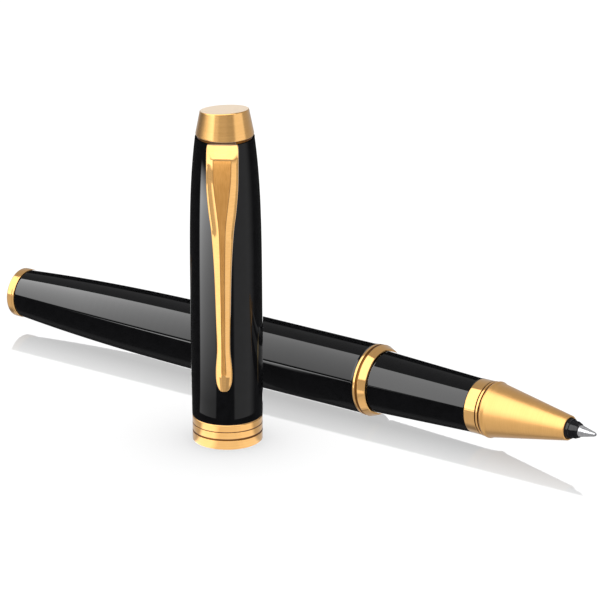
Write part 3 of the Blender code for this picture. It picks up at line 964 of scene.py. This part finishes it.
def gold_light(tree, z, about_pen, about_cap, above):
    """What blurred reflections see: one box overhead and two low ones in an even room.

    The room is brighter near the horizon to the front and side, and darker to the left.
    """
    high = product(tree, band(tree, about_pen, 88.0, 177.0, 1.5), ramp(tree, z, 0.2, 0.3), above)
    low = product(
        tree,
        band(tree, about_cap, -148.0, -100.0, 4.0),
        ramp(tree, z, -0.03, 0.03),
        ramp(tree, z, 0.25, 0.3, 1.0, 0.0),
    )
    side_box = product(tree, band(tree, about_cap, -12.0, 34.0, 5.0), ramp(tree, z, 0.12, 0.22, 0.24, 0.0))
    box = either(tree, high, low, side_box)
    front = band(tree, about_cap, -150.0, -98.0, 6.0, 0.20)
    corner = band(tree, about_cap, -102.0, -80.0, 5.0, 0.40)
    right = band(tree, about_cap, -80.0, -44.0, 10.0, 0.12)
    side = band(tree, about_cap, -12.0, 34.0, 5.0, 0.25)
    dim = product(tree, ramp(tree, calc(tree, "ABSOLUTE", about_cap), 152, 172), -0.22)
    around = total(tree, front, corner, right, side, dim)
    horizon = product(tree, ramp(tree, z, 0.12, 0.22, 1.0, 0.0), around)
    return total(tree, METAL_ROOM, horizon, calc(tree, "MULTIPLY", box, METAL_BOX))


# Strengths of the surroundings: for the camera and the floor's mirror, for the reflections of things seen
# in that mirror, and for soft light
WHITE = 1.0
IN_MIRROR = 0.15
SOFT_LIGHT = 1.12


def studio():
    """White surroundings for the camera and the floor's mirror, and separate light for each kind of ray.

    Sharp reflections are those of the lacquer, the refill's black plastic and the steel point. Blurred
    ones are those of the gold and the other metal. Paths that passed the clear sheet reached the floor.
    """
    world, tree = new_tree("studio", "world")
    bpy.context.scene.world = world
    world.cycles.sampling_method = "NONE"
    split = tree.nodes.new("ShaderNodeSeparateXYZ")
    tree.links.new(tree.nodes.new("ShaderNodeTexCoord").outputs["Generated"], split.inputs[0])
    x, y, z = split.outputs
    about_pen = degrees_of(tree, z, y)
    about_cap = degrees_of(tree, y, x)
    above = ramp(tree, z, -0.01, 0.01)
    sharp = lacquer_light(tree, x, z, about_pen, about_cap, above)
    gold = gold_light(tree, z, about_pen, about_cap, above)

    path = tree.nodes.new("ShaderNodeLightPath").outputs
    off_floor = calc(tree, "GREATER_THAN", path["Transparent Depth"], 0.5)
    again = calc(tree, "GREATER_THAN", path["Glossy Depth"], 1.5)
    in_floor = chosen(tree, again, IN_MIRROR, WHITE)
    glossy = chosen(tree, off_floor, in_floor, chosen(tree, path["Is Singular Ray"], sharp, gold))
    lit = chosen(tree, path["Is Glossy Ray"], glossy, SOFT_LIGHT)
    strength = chosen(tree, path["Is Camera Ray"], WHITE, lit)
    background = tree.nodes.new("ShaderNodeBackground")
    background.inputs["Color"].default_value = (1.0, 1.0, 1.0, 1.0)
    tree.links.new(strength, background.inputs["Strength"])
    output = tree.nodes.new("ShaderNodeOutputWorld")
    tree.links.new(background.outputs[0], output.inputs["Surface"])


def flat_stage(name, corners, material):
    mesh = bpy.data.meshes.new(name)
    mesh.from_pydata(corners, [], [tuple(range(len(corners)))])
    mesh.materials.append(material)
    obj = bpy.data.objects.new(name, mesh)
    bpy.context.scene.collection.objects.link(obj)
    return obj


def square(half, height):
    return [(-half, -half, height), (half, -half, height), (half, half, height), (-half, half, height)]


# The floor's mirror: its reach from the pen's axis in metres, as full, weakest and gone, and its share
MIRROR_FULL = 0.003
MIRROR_WEAKEST = 0.0105
MIRROR_GONE = 0.0114
MIRROR_SHARE = (0.50, 0.28)
FLOOR_ROUGHNESS = 0.02

# Half widths of the floor and of the clear sheet on it, and the sheet's height, in metres
FLOOR_HALF = 6.0
SHEET_HALF = 5.9
SHEET_HEIGHT = 0.00002


def floor():
    """White floor that mirrors faintly close to the pen, and that the pieces' reflections don't see.

    A clear sheet on it marks the paths that go to the floor.
    """
    material, tree = new_tree("white_floor", "material")
    split = tree.nodes.new("ShaderNodeSeparateXYZ")
    tree.links.new(tree.nodes.new("ShaderNodeTexCoord").outputs["Object"], split.inputs[0])
    away = calc(tree, "ABSOLUTE", calc(tree, "SUBTRACT", split.outputs["Y"], PEN_ORIGIN.y))
    diffuse = tree.nodes.new("ShaderNodeBsdfDiffuse")
    diffuse.inputs["Color"].default_value = (0.98, 0.98, 0.98, 1.0)
    gloss = tree.nodes.new("ShaderNodeBsdfGlossy")
    gloss.inputs["Color"].default_value = (1.0, 1.0, 1.0, 1.0)
    gloss.inputs["Roughness"].default_value = FLOOR_ROUGHNESS
    blend = tree.nodes.new("ShaderNodeMixShader")
    near = ramp(tree, away, MIRROR_FULL, MIRROR_WEAKEST, *MIRROR_SHARE, False)
    share = calc(tree, "MULTIPLY", near, ramp(tree, away, MIRROR_WEAKEST, MIRROR_GONE, 1.0, 0.0))
    tree.links.new(share, blend.inputs[0])
    tree.links.new(diffuse.outputs[0], blend.inputs[1])
    tree.links.new(gloss.outputs[0], blend.inputs[2])
    output = tree.nodes.new("ShaderNodeOutputMaterial")
    tree.links.new(blend.outputs[0], output.inputs["Surface"])
    obj = flat_stage("floor", square(FLOOR_HALF, 0.0), material)
    obj.visible_glossy = False

    material, tree = new_tree("clear_sheet", "material")
    clear = tree.nodes.new("ShaderNodeBsdfTransparent")
    output = tree.nodes.new("ShaderNodeOutputMaterial")
    tree.links.new(clear.outputs[0], output.inputs["Surface"])
    sheet = flat_stage("clear_sheet", square(SHEET_HALF, SHEET_HEIGHT), material)
    sheet.visible_glossy = False
    sheet.visible_diffuse = False
    sheet.visible_shadow = False
    sheet.visible_transmission = False


REFLECTOR_HEIGHT = -0.0002
REFLECTOR_STEPS = 48


def reflector(name, inner, outer, start, end, emission):
    """Part of a ring about the cap, just under the floor, that only reflections see."""
    material, tree = new_tree(name, "material")
    material.cycles.emission_sampling = "NONE"
    split = tree.nodes.new("ShaderNodeSeparateXYZ")
    tree.links.new(tree.nodes.new("ShaderNodeTexCoord").outputs["Object"], split.inputs[0])
    x, y, _ = split.outputs
    away = calc(tree, "SQRT", total(tree, product(tree, x, x), product(tree, y, y)))
    glow = tree.nodes.new("ShaderNodeEmission")
    glow.inputs["Color"].default_value = (1.0, 1.0, 1.0, 1.0)
    tree.links.new(emission(tree, away, degrees_of(tree, y, x)), glow.inputs["Strength"])
    output = tree.nodes.new("ShaderNodeOutputMaterial")
    tree.links.new(glow.outputs[0], output.inputs["Surface"])
    verts, faces = [], []
    for i in range(REFLECTOR_STEPS + 1):
        angle = math.radians(start + (end - start) * i / REFLECTOR_STEPS)
        for radius in (inner, outer):
            verts.append((radius * math.cos(angle), radius * math.sin(angle), REFLECTOR_HEIGHT))
    for i in range(REFLECTOR_STEPS):
        faces.append((2 * i, 2 * i + 1, 2 * i + 3, 2 * i + 2))
    mesh = bpy.data.meshes.new(name)
    mesh.from_pydata(verts, [], faces)
    mesh.materials.append(material)
    obj = bpy.data.objects.new(name, mesh)
    obj.location = (CAP_ORIGIN.x, CAP_ORIGIN.y, 0.0)
    bpy.context.scene.collection.objects.link(obj)
    obj.visible_camera = False
    obj.visible_diffuse = False
    obj.visible_shadow = False
    obj.visible_transmission = False


def card_emission(tree, away, about):
    """Brighter further out, so that the cap's streak brightens upward, and soft at every edge.

    Sharp reflections see it from the cap only: it fades for rays that come from further off.
    """
    path = tree.nodes.new("ShaderNodeLightPath").outputs
    rising = ramp(tree, away, 0.027, 0.172, 1.0, 8.9, False)
    outward = product(tree, rising, ramp(tree, away, 0.16, 0.29, 1.0, 0.0))
    across = ramp(tree, about, -143, -86, 1.0, 0.6, False)
    edges = band(tree, about, -143.0, -86.0, 2.5)
    further = calc(tree, "SUBTRACT", path["Ray Length"], calc(tree, "MULTIPLY", away, 1.07))
    from_cap = ramp(tree, further, 0.006, 0.016, 1.0, 0.0)
    bright = total(tree, 0.04, product(tree, outward, across, edges, from_cap))
    metal = total(tree, 0.72, band(tree, about, -120.0, -96.0, 4.0, 1.1))
    return chosen(tree, path["Is Singular Ray"], bright, metal)


def foot_emission(tree, away, about):
    """Pale light around the cap's foot for the metal, strongest in front, and next to none for lacquer."""
    front = band(tree, about, -130.0, -82.0, 8.0, 1.15)
    middle = band(tree, about, -82.0, -24.0, 6.0, 0.48)
    side = band(tree, about, -24.0, 20.0, 8.0, 0.6)
    metal = total(tree, 0.62, front, middle, side)
    path = tree.nodes.new("ShaderNodeLightPath").outputs
    return chosen(tree, path["Is Singular Ray"], 0.04, metal)


barrel()
tail()
ring()
grip()
collar()
cone()
bushing()
refill_front()
point()
ball()
cap_body()
mouth_band()
finial()
clip()

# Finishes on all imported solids. Those that a finer mesh above replaces aren't shown.
for subpart in frame["record"]["subparts"]:
    node = frame["nodes"][subpart["node"]]
    node.data.materials.clear()
    # The clip's ring, seen only in the gap under the finial, gets the dark gold as painted shade
    shaded = subpart["node"] == "clip_ring"
    node.data.materials.append(FINISHES["groove_gold" if shaded else subpart["material_slot"]])

camera()
studio()
floor()
reflector("front_card", 0.0196, 0.30, -146.0, -83.0, card_emission)
reflector("foot_glow", 0.004, 0.0194, -180.0, 180.0, foot_emission)
# Some pieces stay out of reflections, and of all pieces only the cap's tube shades the floor
for obj in bpy.data.objects:
    if obj.type == "MESH" and obj.name.startswith(UNMIRRORED):
        obj.visible_glossy = False
    if obj.type == "MESH" and not obj.name.startswith("cap_tube"):
        obj.visible_diffuse = False
bpy.context.scene.view_settings.view_transform = "Standard"
